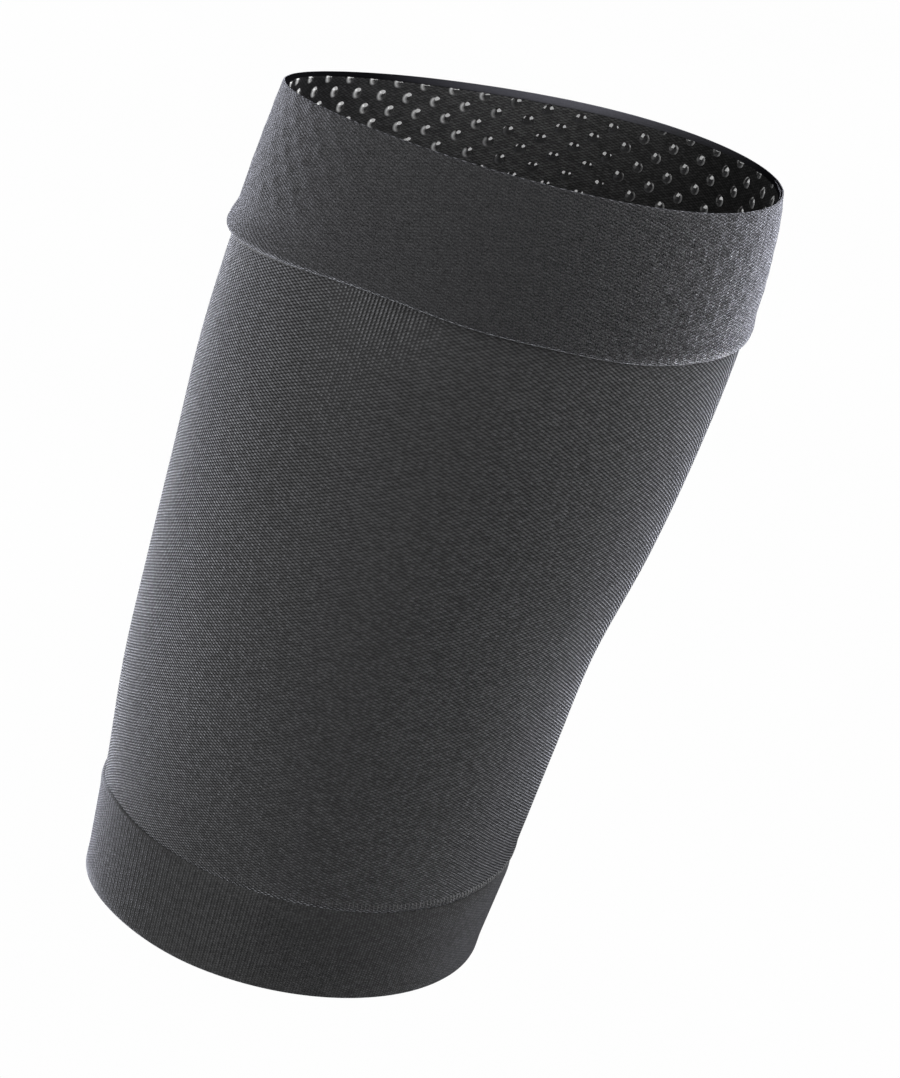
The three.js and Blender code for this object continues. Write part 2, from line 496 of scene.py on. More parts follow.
def add_piece(name, vertices, faces):
    """A smooth-shaded mesh object from arrays."""
    mesh = bpy.data.meshes.new(name)
    mesh.from_pydata(vertices.reshape(-1, 3).tolist(), [], [list(face) for face in faces])
    mesh.shade_smooth()
    piece = bpy.data.objects.new(name, mesh)
    bpy.context.scene.collection.objects.link(piece)
    return piece


def add_map(piece, name, coordinates):
    """A UV map from one pair of numbers for each corner of each face."""
    layer = piece.data.uv_layers.new(name=name)
    layer.data.foreach_set("uv", coordinates.astype(np.float32).ravel())


def add_value(piece, name, values):
    """A number for each vertex; a single row of values serves every row of vertices."""
    columns = values.shape[1]
    rows = len(piece.data.vertices) // columns
    attribute = piece.data.attributes.new(name, "FLOAT", "POINT")
    filled = np.broadcast_to(values, (rows, columns))
    attribute.data.foreach_set("value", filled.astype(np.float32).ravel())


def cloth_ring(name, depth, out, drape=0):
    """A closed wall carried once round the sleeve: the rows run down its outside and up its inside."""
    depth, out, drape = np.broadcast_arrays(depth, out, drape)
    rows, columns = depth.shape
    points = sleeve_points(ring_angles(columns), depth, out)
    index = np.arange(rows * columns).reshape(rows, columns)
    below = np.roll(index, -1, axis=0)
    corners = [index, below, np.roll(below, -1, axis=1), np.roll(index, -1, axis=1)]
    piece = add_piece(name, points, np.stack(corners, axis=-1).reshape(-1, 4))
    steps = np.linalg.norm(np.roll(points, -1, axis=0) - points, axis=-1).mean(axis=1)
    along = np.concatenate([[0], np.cumsum(steps)])
    turn = np.arange(columns + 1) / columns
    row = np.arange(rows)[:, None] + np.array([0, 1, 1, 0])
    column = np.arange(columns)[:, None] + np.array([0, 0, 1, 1])
    pattern = np.empty((rows, columns, 4, 2))
    pattern[..., 0] = turn[column][None, :, :]
    pattern[..., 1] = along[row][:, None, :]
    add_map(piece, BAKE_MAP, pattern / np.array([1, along[-1]]))
    pattern[..., 1] += drape[row[:, None, :] % rows, column[None, :, :] % columns]
    add_map(piece, PATTERN_MAP, pattern)
    return piece


def repeated(faces, size, count):
    """The faces of one small shape, for so many copies of its vertices."""
    return [[corner + number * size for corner in face] for number in range(count) for face in faces]


# Tube

def seam_drop(angle, depth):
    """How far the cloth is drawn down along the seam at the left."""
    return SEAM_DROP_LEFT * near(angle, SEAM_DROP_AT) * hump(depth, SEAM_DEPTH, SEAM_DROP_REACH)


def tube_out(angle, depth):
    """How far out the tube's outer face lies, with its ridge along the cuff seam."""
    height = SEAM_RIDGE + SEAM_RIDGE_RIGHT * near(angle, SEAM_RIDGE_AT)
    return BODY_WALL + height * hump(depth, SEAM_RIDGE_DEPTH, SEAM_RIDGE_HALF_HEIGHT)


def course_sag(angle, depth):
    """How far the courses of the tube hang below their own height."""
    grown = COURSE_SAG_TOP + COURSE_SAG_GROWTH * depth
    sag = COURSE_SAG * grown * near(angle, COURSE_SAG_AT)
    return sag - COURSE_RISE * near(angle, COURSE_RISE_AT)


def stretched(angle, depth):
    """How far the knit is pulled open below the hem, left of the front."""
    below = depth - BAND_HEIGHT
    pulled = near(angle, PULL_AT) * smooth(1 - below / PULL_REACH)
    trail = PULL_TRAIL * near(angle, PULL_TRAIL_AT) * smooth(1 - below / PULL_TRAIL_REACH)
    return np.maximum(pulled, trail)


def tube_painted_sheen(angle, depth):
    """Painted sheen: how strongly the tube shines, most along both sides and least low on the right."""
    low = smooth((depth - TUBE_LOW_START) / TUBE_LOW_REACH)
    left = TUBE_SHINE_LEFT * near(angle, TUBE_SHINE_LEFT_AT)
    beside = near(angle, TUBE_RIGHT_AT)
    right = TUBE_SHINE_RIGHT * beside + TUBE_SHINE_FAR_RIGHT * near(angle, TUBE_FAR_RIGHT_AT)
    dull = TUBE_DULL_RIGHT * beside + TUBE_DULL_LEFT * near(angle, TUBE_DULL_LEFT_AT)
    return 1 + left + right * (1 - low) - dull * low


def knit_tube():
    """The fine-knit tube, from behind the band to the cuff seam."""
    top = BAND_HEIGHT - BODY_TUCK
    seam = SEAM_DEPTH - SEAM_GAP / 2
    angle = ring_angles(CLOTH_COLUMNS)
    down = np.linspace(top, seam, TUBE_ROWS)[:, None]
    up = np.linspace(seam, top, TUBE_ROWS_INSIDE)[:, None]
    depth = np.concatenate([down, up])
    out = np.concatenate([tube_out(angle, down), np.zeros((len(up), CLOTH_COLUMNS))])
    reach = depth - top
    drape = reach * (COURSE_SPREAD - 1 + COURSE_PACKING * reach) - course_sag(angle, depth)
    piece = cloth_ring("knit_tube", depth + seam_drop(angle, depth), out, drape)
    left = near(angle, KNIT_LEFT_AT)
    right = near(angle, TUBE_KNIT_RIGHT_AT)
    add_value(piece, STRETCH, stretched(angle, depth))
    add_value(piece, RISING, side_mix(TUBE_RISING, left, right))
    add_value(piece, FALLING, side_mix(TUBE_FALLING, left, right))
    # painted sheen round the sleeve
    add_value(piece, PAINTED_LIGHT, tube_painted_sheen(angle, depth))
    return piece


# Band

def dot_row_depth(angle, row):
    """Depth of a row of dots."""
    level = DOT_FIRST_ROW + row * DOT_ROW_PITCH
    slant = DOT_SLANT * near(angle, DOT_SLANT_AT)
    return level + slant - DOT_RISE_ENDS * (1 - near(angle, DOT_MIDDLE_AT))


def tape_depth(angle):
    """How far down the inside the turned edge of the rim reaches."""
    more = TAPE_MORE_BACK * near(angle, TAPE_BACK_AT)
    return TAPE_HEIGHT + more - TAPE_LESS_LEFT * near(angle, TAPE_LEFT_AT)


def rim_in(angle, depth):
    """How far out the inside of the band lies near the rim, where it thins on the right."""
    return RIM_THIN_RIGHT * near(angle, RIM_THIN_AT) * smooth(1 - depth / RIM_THIN_HEIGHT)


def hem_drop(angle):
    """How far the hem's lower edge lies below its mean height."""
    left = HEM_DROP_LEFT * near(angle, HEM_DROP_LEFT_AT)
    right = HEM_DROP_RIGHT * near(angle, HEM_DROP_RIGHT_AT)
    return left + right - HEM_RISE_FRONT * near(angle, HEM_RISE_AT)


def dot_show_through(angle, depth):
    """1 over a dot behind the band, falling away round it."""
    row = np.clip(np.round((depth - dot_row_depth(angle, 0)) / DOT_ROW_PITCH), 0, DOT_ROWS - 1)
    turned = angle - DOT_TURN - DOT_SPREAD * near(angle, DOT_SHOW_SPREAD_AT)
    column = turned / TURN * DOTS_AROUND - (row % 2) / 2
    across = (column - np.round(column)) / DOTS_AROUND * DOT_SHOW_GIRTH
    down = depth - dot_row_depth(angle, row)
    return np.exp(-(across ** 2 + down ** 2) / DOT_RADIUS ** 2)


def band_out(angle, depth):
    """How far out the band's outer face lies: dots pressing through, and the swollen, rounded hem."""
    face = LINING_WALL + PLY_GAP + BAND_WALL
    left = near(angle, HEM_LEFT_AT)
    right = near(angle, HEM_RIGHT_AT)
    swell = HEM_BULGE + HEM_BULGE_LEFT * left + HEM_BULGE_RIGHT * right
    bulge = swell * smooth((depth - HEM_START - HEM_LATER_LEFT * left) / HEM_SWELL)
    crease = HEM_CREASE * hump(depth, HEM_CREASE_DEPTH, HEM_CREASE_HALF_HEIGHT)
    ends = np.maximum(near(angle, DOT_SHOW_LEFT_AT), near(angle, DOT_SHOW_RIGHT_AT))
    press = (DOT_SHOW_THROUGH + DOT_SHOW_MORE * ends) * smooth((HEM_START - depth) / DOT_SHOW_FADE)
    dots = press * dot_show_through(angle, depth)
    pinch_right = RIM_PINCH_RIGHT * near(angle, RIM_PINCH_RIGHT_AT)
    pinch_left = RIM_PINCH_LEFT * near(angle, RIM_PINCH_LEFT_AT)
    pinch = (pinch_right + pinch_left) * smooth(1 - depth / RIM_THIN_HEIGHT)
    high = hump(depth, BAND_SWELL_DEPTH, RIM_THIN_HEIGHT)
    swollen = BAND_SWELL_RIGHT * near(angle, BAND_SWELL_AT) * high
    out = face + bulge - crease + dots - pinch + swollen
    reach = HEM_ROUND + (HEM_ROUND_LEFT - HEM_ROUND) * left + (HEM_ROUND_RIGHT - HEM_ROUND) * right
    turned = np.clip((depth - (BAND_HEIGHT - reach)) / reach, 0, 1)
    seat = BODY_WALL + PLY_GAP + HEM_CLEARANCE
    return out - (out - seat) * (1 - np.sqrt(1 - turned ** 2))


def band_painted_light(angle, level):
    """Painted light and shade on the band: paler at the far left and along the hem on the right, darker at
    the rim.
    """
    high = smooth((level - BAND_HEIGHT + HEM_PAINTED_LIGHT_HEIGHT) / HEM_PAINTED_LIGHT_FADE)
    hem_light = HEM_PAINTED_LIGHT * high * near(angle, HEM_PAINTED_LIGHT_AT)
    pale = hem_light + BAND_PALE_LEFT * near(angle, BAND_PALE_LEFT_AT)
    return 1 + pale - RIM_DARKER * smooth(1 - level / RIM_SHADE)


def knit_band():
    """The outer ply of the upper band, curved in at the rim and rounded at the hem."""
    angle = ring_angles(CLOTH_COLUMNS)
    arc = np.linspace(0, math.pi / 2, RIM_ROWS)[:, None]
    rim_depth = RIM_ROUND * (1 - np.cos(arc))
    rim_out = band_out(angle, rim_depth) - RIM_ROUND * (1 - np.sin(arc))
    packed = 1 - (1 - np.linspace(0, 1, HEM_ROWS)) ** HEM_ROW_PACKING
    down = np.concatenate([
        np.linspace(RIM_ROUND, HEM_START, BAND_ROWS)[1:-1],
        HEM_START + (BAND_HEIGHT - HEM_START) * packed,
    ])[:, None]
    up = np.linspace(BAND_HEIGHT - HEM_INSIDE_SHORT, RIM_ROUND, BAND_ROWS_INSIDE)[:, None]
    level = np.concatenate([rim_depth, down, up])
    drop = hem_drop(angle) * smooth((level - HEM_WAVE_START) / (BAND_HEIGHT - HEM_WAVE_START))
    inside = np.full((len(up), CLOTH_COLUMNS), LINING_WALL + PLY_GAP)
    piece = cloth_ring("knit_band", level + drop, np.concatenate([rim_out, band_out(angle, down), inside]))
    left = near(angle, KNIT_LEFT_AT)
    right = near(angle, BAND_KNIT_RIGHT_AT)
    # painted light and shade round the band
    add_value(piece, PAINTED_LIGHT, band_painted_light(angle, level))
    add_value(piece, RISING, side_mix(BAND_RISING, left, right))
    add_value(piece, FALLING, side_mix(BAND_FALLING, left, right))
    add_value(piece, GRAIN, side_mix(BAND_GRAIN, left, right))
    return piece


def rim_tape():
    """The smooth edge of the band, sloping in from the rim to the lining, with painted light that makes it
    paler at the back.
    """
    angle = ring_angles(EDGING_COLUMNS)
    share = np.array(TAPE_PROFILE)[:, None]
    depth = share * tape_depth(angle)
    top = band_out(angle, 0) - RIM_ROUND
    foot = rim_in(angle, depth)
    out = foot + (top - foot) * (1 - share)
    out[0] = out[0] - TAPE_WALL
    out[1] = foot[1] + TAPE_WALL
    out[2:4] = foot[2:4]
    piece = cloth_ring("rim_tape", depth, out)
    # painted light: the tape is paler at the back
    add_value(piece, PAINTED_SHADE, near(angle, TAPE_BACK_AT))
    return piece


def hem_bead():
    """A fine rolled edge along the lower edge of the band, thickest on the left."""
    angle = ring_angles(EDGING_COLUMNS)
    around = TURN * np.arange(BEAD_SIDES)[:, None] / BEAD_SIDES
    left = near(angle, BEAD_AT)
    radius = BEAD_RADIUS * (BEAD_LEAST + (1 - BEAD_LEAST) * left)
    depth = BAND_HEIGHT + hem_drop(angle) + BEAD_DROP - radius * np.sin(around)
    middle = BODY_WALL + PLY_GAP + HEM_CLEARANCE + BEAD_OUT + BEAD_OUT_LEFT * left
    out = middle + radius * np.cos(around)
    return cloth_ring("hem_bead", depth[::-1], out[::-1])


# Lining and dots

def inner_ply():
    """The black inner ply of the band, between the turned rim and the tube's top edge."""
    angle = ring_angles(LINING_COLUMNS)
    bottom = BAND_HEIGHT - BODY_TUCK - PLY_GAP
    top = tape_depth(angle) + PLY_GAP / 2
    down = np.linspace(0, 1, LINING_ROWS_OUTSIDE)[:, None]
    up = np.linspace(1, 0, LINING_ROWS)[:, None]
    depth = top + (bottom - top) * np.concatenate([down, up])
    inside = LINING_FACE + rim_in(angle, depth[len(down):])
    out = np.concatenate([np.full((len(down), LINING_COLUMNS), LINING_WALL), inside])
    piece = cloth_ring("inner_ply", depth, out)
    # painted shade: the lining is darkest away from the back
    add_value(piece, PAINTED_SHADE, LINING_DARKEST + (1 - LINING_DARKEST) * near(angle, LINING_PALE_AT))
    return piece


def dot_centres():
    """Angle and depth of each silicone dot in sight below the turned rim."""
    for row in range(DOT_ROWS):
        for column in range(DOTS_AROUND):
            angle = TURN * (column + (row % 2) / 2) / DOTS_AROUND + DOT_TURN
            gather = near(angle, DOT_GATHER_RIGHT_AT) - near(angle, DOT_GATHER_LEFT_AT)
            angle = angle + DOT_SPREAD * near(angle, DOT_SPREAD_AT) + DOT_GATHER * gather
            depth = dot_row_depth(angle, row)
            if tape_depth(angle) - DOT_COVERED < depth < DOT_LAST_DEPTH:
                yield angle, depth


def dome():
    """One dot: how far each vertex lies across, down and up from its middle, and its faces."""
    rings = np.array(DOT_RINGS)
    height = DOT_HEIGHT * (1 - rings ** 2)
    height[0] = -DOT_SUNK
    around = TURN * np.arange(DOT_SIDES) / DOT_SIDES
    across = np.append((DOT_RADIUS * rings[:, None] * np.cos(around)).ravel(), [0, 0])
    down = np.append((DOT_RADIUS * rings[:, None] * np.sin(around)).ravel(), [0, 0])
    rise = np.append(np.repeat(height, DOT_SIDES), [DOT_HEIGHT, -DOT_SUNK])
    index = np.arange(len(rings) * DOT_SIDES).reshape(len(rings), DOT_SIDES)
    beside = np.roll(index, -1, axis=1)
    walls = np.stack([index[:-1], beside[:-1], beside[1:], index[1:]], axis=-1).reshape(-1, 4)
    crown = index.size
    base = index.size + 1
    caps = [(a, b, crown) for a, b in zip(index[-1], beside[-1])]
    floors = [(b, a, base) for a, b in zip(index[0], beside[0])]
    return across, down, rise, [*walls.tolist(), *caps, *floors]


def dot_painted_fill(down):
    """Painted light: how much paler each part of a dot is made, to look like the cloth behind however it
    faces the light.
    """
    slope = 2 * DOT_HEIGHT * down / DOT_RADIUS ** 2
    facing = (1 - slope) / np.sqrt(1 + slope ** 2)
    return 1 / np.maximum(facing, DOT_STEEPEST)


def dot_glint(centres, across, down):
    """Painted light in each dot: a crescent in the left ones, an arc and a disc in the right ones."""
    reach = np.hypot(across, down) / DOT_RADIUS
    leftward = np.sign(np.sin(centres)) * across / DOT_RADIUS
    downward = down / DOT_RADIUS
    on_left = smooth(-DOT_SIDE_RATE * np.cos(centres) - LEFT_DOTS_START)
    on_right = smooth(DOT_SIDE_RATE * np.cos(centres) - RIGHT_DOTS_START)
    lit = CRESCENT_LEFTWARD * leftward + CRESCENT_DOWNWARD * downward
    bow = hump(reach, CRESCENT_RADIUS, CRESCENT_HALF_WIDTH) * smooth((lit - CRESCENT_START) / CRESCENT_FADE)
    arc = smooth((reach - ARC_RADIUS) / ARC_FADE) * smooth((-leftward - ARC_START) / ARC_END_FADE)
    disc = smooth((DISC_RADIUS - np.hypot(leftward - DISC_LEFTWARD, downward)) / DISC_FADE)
    return CRESCENT * on_left * bow + on_right * arc + DISC * on_right * disc


def grip_dots():
    """Domed silicone dots on the lining, cut off by the turned rim in the upper row."""
    across, down, rise, faces = dome()
    centres = list(dot_centres())
    vertices = []
    for angle, depth in centres:
        along_x, along_y = ring_tangent(np.array(angle), np.array(depth))
        angles = angle + across / np.hypot(along_x, along_y)
        depths = np.maximum(depth + down, tape_depth(angles) + PLY_GAP / 4)
        vertices.append(sleeve_points(angles, depths, LINING_FACE + rim_in(angles, depths) - rise))
    piece = add_piece("grip_dots", np.concatenate(vertices), repeated(faces, len(rise), len(centres)))
    # painted light that evens out each dot's shading
    add_value(piece, PAINTED_FILL, dot_painted_fill(down)[None, :])
    # painted glints
    add_value(piece, GLINT, dot_glint(np.array(centres)[:, :1], across, down))
    return piece


# Cuff and seam

def cuff_out(angle, depth):
    """How far out the cuff's outer face lies, without its ribs."""
    below = depth - SEAM_DEPTH
    stand = CUFF_STEP_LEFT * near(angle, CUFF_STEP_AT) - CUFF_DIP_RIGHT * near(angle, CUFF_DIP_AT)
    step = (BODY_WALL - CUFF_WALL + stand) * smooth(1 - below / CUFF_STEP_FADE)
    near_seam = 1 - np.sqrt(1 - np.clip(1 - below / CUFF_ROUND, 0, 1) ** 2)
    edge = (CUFF_ROUND_LEAST + CUFF_ROUND_MORE_LEFT * near(angle, CUFF_ROUND_AT)) * near_seam
    flare = CUFF_FLARE * smooth((depth - SLEEVE_LENGTH + CUFF_FLARE_HEIGHT) / CUFF_FLARE_HEIGHT)
    return CUFF_WALL + step + flare - edge


def ribs(angle):
    """Height of the ribs, each split in two, and flatter on the right."""
    rib = RIB_HEIGHT * np.cos(angle * RIBS) + RIB_SPLIT * np.cos(2 * angle * RIBS)
    return rib * (1 - RIB_FLATTER_RIGHT * near(angle, RIB_FLATTER_AT))


def rib_cuff():
    """The ribbed cuff, rounded at the seam and folded at the lower opening."""
    columns = RIBS * RIB_SAMPLES
    angle = ring_angles(columns)
    seam = SEAM_DEPTH + SEAM_GAP / 2
    fold = (CUFF_WALL + CUFF_FLARE) / 2
    fold_depth = SLEEVE_LENGTH - fold
    top = np.linspace(seam, seam + CUFF_TOP_HEIGHT, CUFF_TOP_ROWS)[:-1]
    rest = np.linspace(seam + CUFF_TOP_HEIGHT, fold_depth, CUFF_ROWS)
    down = np.concatenate([top, rest])[:, None]
    arc = np.linspace(0, math.pi, CUFF_FOLD_ROWS)[1:-1, None]
    up = np.linspace(fold_depth, seam, CUFF_ROWS_INSIDE)[:, None]
    grow = smooth((down - seam) / RIB_GROW) * smooth((fold_depth - down) / RIB_FADE)
    outside = cuff_out(angle, down) + ribs(angle) * grow
    fold_out = np.repeat(fold + fold * np.cos(arc), columns, axis=1)
    level = np.concatenate([down, fold_depth + fold * np.sin(arc), up])
    lift = CUFF_LIFT_LEFT * near(angle, CUFF_LIFT_AT) * smooth((level - seam) / CUFF_HEIGHT)
    depth = level - lift + seam_drop(angle, level)
    out = np.concatenate([outside, fold_out, np.zeros((len(up), columns))])
    piece = cloth_ring("rib_cuff", depth, out)
    # painted sheen and painted shade round the cuff
    shine = CUFF_SHINE_LEFT * near(angle, CUFF_SHINE_LEFT_AT)
    add_value(piece, PAINTED_LIGHT, 1 + shine - CUFF_DULL_RIGHT * near(angle, CUFF_DULL_RIGHT_AT))
    add_value(piece, PAINTED_SHADE, 1 - CUFF_DARKER_LEFT * near(angle, CUFF_DARKER_AT))
    return piece


def seam_stitches():
    """Short bars of thread over the ridge along the cuff seam."""
    depths = SEAM_RIDGE_DEPTH + STITCH_REACH * np.array(STITCH_STEPS)[:, None]
    lean = np.linspace(-STITCH_LEAN, STITCH_LEAN, len(depths)) * TURN / SEAM_STITCHES
    around = TURN * np.arange(STITCH_SIDES) / STITCH_SIDES
    index = np.arange(len(depths) * STITCH_SIDES).reshape(len(depths), STITCH_SIDES)
    beside = np.roll(index, -1, axis=1)
    walls = np.stack([index[:-1], index[1:], beside[1:], beside[:-1]], axis=-1).reshape(-1, 4)
    faces = [*walls.tolist(), index[0].tolist(), index[-1][::-1].tolist()]
    vertices = []
    for number in range(SEAM_STITCHES):
        angle = TURN * number / SEAM_STITCHES
        radius = STITCH_RADIUS + STITCH_MORE_RIGHT * near(angle, STITCH_RIGHT_AT)
        thick = radius * np.array(STITCH_PROFILE)[:, None]
        angles = (angle + lean)[:, None]
        along_x, along_y = ring_tangent(angles, depths)
        spread = thick * np.cos(around) / np.hypot(along_x, along_y)
        place = depths + seam_drop(angles, depths)
        bars = sleeve_points(angles + spread, place, tube_out(angles, depths) + thick * np.sin(around))
        vertices.append(bars.reshape(-1, 3))
    return add_piece("seam_stitches", np.concatenate(vertices), repeated(faces, index.size, SEAM_STITCHES))


# Nodes

def plug(tree, socket, value):
    """Links an output to a socket, or sets a plain value on it."""
    if isinstance(value, bpy.types.NodeSocket):
        tree.links.new(value, socket)
    else:
        socket.default_value = value


def math_node(tree, operation, *values):
    """The result of one sum or function."""
    node = tree.nodes.new("ShaderNodeMath")
    node.operation = operation
    for socket, value in zip(node.inputs, values):
        plug(tree, socket, value)
    return node.outputs[0]


def total(tree, *values):
    """The sum of several values."""
    result = values[0]
    for value in values[1:]:
        result = math_node(tree, "ADD", result, value)
    return result


def times(tree, *values):
    """The product of several values."""
    result = values[0]
    for value in values[1:]:
        result = math_node(tree, "MULTIPLY", result, value)
    return result


def crest(tree, cycles):
    """A wave from 0 to 1 that peaks at whole numbers."""
    wave = math_node(tree, "COSINE", times(tree, cycles, TURN))
    return math_node(tree, "MULTIPLY_ADD", wave, 0.5, 0.5)


def span(tree, value, low, high):
    """A value from 0 to 1 made to run from low to high."""
    return math_node(tree, "MULTIPLY_ADD", value, high - low, low)


def sway(tree, value, reach):
    """A value from 0 to 1 made to run as far below 0 as above it."""
    return span(tree, value, -reach, reach)


def swing(tree, value, reach):
    """A value from 0 to 1 made to run as far below 1 as above it."""
    return span(tree, value, 1 - reach, 1 + reach)


def blend(tree, share, first, second):
    """The first value where the share is 0, the second where it is 1."""
    gap = math_node(tree, "SUBTRACT", second, first)
    return math_node(tree, "MULTIPLY_ADD", gap, share, first)


def noise(tree, scale):
    """Noise from 0 to 1 in the object's own space, with so many features to a metre."""
    place = tree.nodes.new("ShaderNodeTexCoord").outputs["Object"]
    node = tree.nodes.new("ShaderNodeTexNoise")
    node.inputs["Scale"].default_value = scale
    tree.links.new(place, node.inputs["Vector"])
    return node.outputs[0]


def vertex_value(tree, name):
    """A number that the mesh holds for each vertex."""
    node = tree.nodes.new("ShaderNodeAttribute")
    node.attribute_name = name
    return node.outputs["Fac"]


def pattern_axes(tree, pairs, course):
    """Pairs of stitch columns round the sleeve, and courses along the cloth."""
    pattern = tree.nodes.new("ShaderNodeUVMap")
    pattern.uv_map = PATTERN_MAP
    split = tree.nodes.new("ShaderNodeSeparateXYZ")
    tree.links.new(pattern.outputs["UV"], split.inputs[0])
    return times(tree, split.outputs["X"], pairs), times(tree, split.outputs["Y"], 1 / course)


def wandering(tree, down, scale, reach):
    """Courses that wander a little up and down."""
    return total(tree, down, sway(tree, noise(tree, scale), reach))


def slants(tree, across, down):
    """Lines that rise and lines that fall across the columns."""
    return total(tree, down, across), math_node(tree, "SUBTRACT", down, across)


def slant_tone(tree, rising, falling):
    """Light and dark lines slanting both ways, round a tone of 1, as strong as the mesh's values say."""
    first = times(tree, sway(tree, crest(tree, rising), 1), vertex_value(tree, RISING))
    second = times(tree, sway(tree, crest(tree, falling), 1), vertex_value(tree, FALLING))
    return total(tree, first, second, 1.0)


def both_slants(tree, rising, falling):
    """Loops from 0 to 1 where lines slanting both ways cross."""
    return times(tree, total(tree, crest(tree, rising), crest(tree, falling)), 0.5)


def chance(tree, first, second):
    """A random number from 0 to 1 for each stitch."""
    cell = tree.nodes.new("ShaderNodeCombineXYZ")
    plug(tree, cell.inputs[0], math_node(tree, "ROUND", first))
    plug(tree, cell.inputs[1], math_node(tree, "ROUND", second))
    node = tree.nodes.new("ShaderNodeTexWhiteNoise")
    node.noise_dimensions = "2D"
    tree.links.new(cell.outputs[0], node.inputs["Vector"])
    return node.outputs["Value"]


def tint(tree, colour, tone):
    """A colour made lighter or darker by a tone."""
    node = tree.nodes.new("ShaderNodeVectorMath")
    node.operation = "SCALE"
    node.inputs[0].default_value = colour
    plug(tree, node.inputs["Scale"], tone)
    return node.outputs[0]


def bump(tree, height, distance):
    """Fine relief."""
    node = tree.nodes.new("ShaderNodeBump")
    node.inputs["Distance"].default_value = distance
    plug(tree, node.inputs["Height"], height)
    return node.outputs[0]


def new_material(name):
    """A material, its node tree and its shader."""
    material = bpy.data.materials.new(name)
    material.use_nodes = True
    return material, material.node_tree, material.node_tree.nodes["Principled BSDF"]


def surface(tree, shader, colour, relief):
    """Gives a shader its colour and relief."""
    plug(tree, shader.inputs["Base Color"], colour)
    plug(tree, shader.inputs["Normal"], relief)


def cloth_finish(tree, shader, sheen):
    """Numbers that hold all over a cloth, and its sheen, which may change from place to place."""
    shader.inputs["Roughness"].default_value = CLOTH_ROUGHNESS
    shader.inputs["Specular IOR Level"].default_value = CLOTH_SPECULAR
    shader.inputs["Sheen Roughness"].default_value = SHEEN_ROUGHNESS
    shader.inputs["Sheen Tint"].default_value = SHEEN_TINT
    plug(tree, shader.inputs["Sheen Weight"], sheen)


# Materials

def pulled_strands(tree, across, rising):
    """Bright upright strands, broken up along their length, where the knit is pulled open."""
    strand = crest(tree, times(tree, across, 2))
    loops = span(tree, crest(tree, rising), *STRAND_LOOPS)
    breaks = swing(tree, noise(tree, STRAND_SCALE), STRAND_BREAKS)
    return span(tree, times(tree, strand, loops, breaks), *STRAND_TONE)


def body_material():
    """Fine knit: light loops in staggered columns, with dark gaps between them."""
    material, tree, shader = new_material("body_knit")
    across, down = pattern_axes(tree, BODY_PAIRS, BODY_COURSE)
    down = wandering(tree, down, BODY_DRIFT_SCALE, BODY_DRIFT)
    rising, falling = slants(tree, across, down)
    loop = slant_tone(tree, rising, falling)
    loop = blend(tree, vertex_value(tree, STRETCH), loop, pulled_strands(tree, across, rising))
    loop = times(tree, loop, swing(tree, chance(tree, rising, falling), KNIT_UNEVEN))
    fibre = noise(tree, FIBRE_SCALE)
    broad = swing(tree, noise(tree, BROAD_SCALE), BODY_BROAD)
    tone = times(tree, loop, broad, swing(tree, fibre, KNIT_FIBRE))
    height = total(tree, loop, times(tree, fibre, BODY_FIBRE_RELIEF))
    surface(tree, shader, tint(tree, BODY_COLOUR, tone), bump(tree, height, KNIT_RELIEF))
    # the sheen follows the knit and the painted sheen that the mesh holds round the sleeve
    cloth_finish(tree, shader, times(tree, tone, vertex_value(tree, PAINTED_LIGHT), KNIT_SHEEN))
    return material


def band_material():
    """Closer, crinkled knit: slanting lines, wavy rows and specks, strongest on the right."""
    material, tree, shader = new_material("band_knit")
    across, down = pattern_axes(tree, BAND_PAIRS, BAND_COURSE)
    down = wandering(tree, down, BAND_DRIFT_SCALE, BAND_DRIFT)
    rising, falling = slants(tree, across, down)
    grain = vertex_value(tree, GRAIN)
    wavy = total(tree, down, sway(tree, crest(tree, across), BAND_WAVE))
    rows = times(tree, sway(tree, crest(tree, wavy), BAND_ROW_TONE), grain)
    loop = total(tree, slant_tone(tree, rising, falling), rows)
    uneven = times(tree, sway(tree, chance(tree, rising, falling), BAND_UNEVEN), grain)
    loop = times(tree, loop, total(tree, uneven, 1.0))
    fibre = noise(tree, FIBRE_SCALE)
    specks = total(tree, times(tree, sway(tree, fibre, BAND_SPECKS), grain), 1.0)
    # the band's colour and sheen carry the painted light and shade that the mesh holds
    tone = times(tree, loop, specks, vertex_value(tree, PAINTED_LIGHT))
    height = total(tree, loop, times(tree, fibre, BAND_FIBRE_RELIEF))
    surface(tree, shader, tint(tree, BAND_COLOUR, tone), bump(tree, height, KNIT_RELIEF))
    cloth_finish(tree, shader, times(tree, tone, BAND_SHEEN))
    return material


def tape_material():
    """Smooth dark edging, blue-grey where painted light makes it pale."""
    material, tree, shader = new_material("rim_tape")
    fibre = swing(tree, noise(tree, TAPE_SCALE), TAPE_FIBRE)
    tone = times(tree, span(tree, vertex_value(tree, PAINTED_SHADE), TAPE_DARKEST, 1), fibre)
    surface(tree, shader, tint(tree, TAPE_COLOUR, tone), bump(tree, fibre, SMOOTH_RELIEF))
    cloth_finish(tree, shader, 0)
    shader.inputs["IOR"].default_value = NO_GLOSS_IOR
    return material


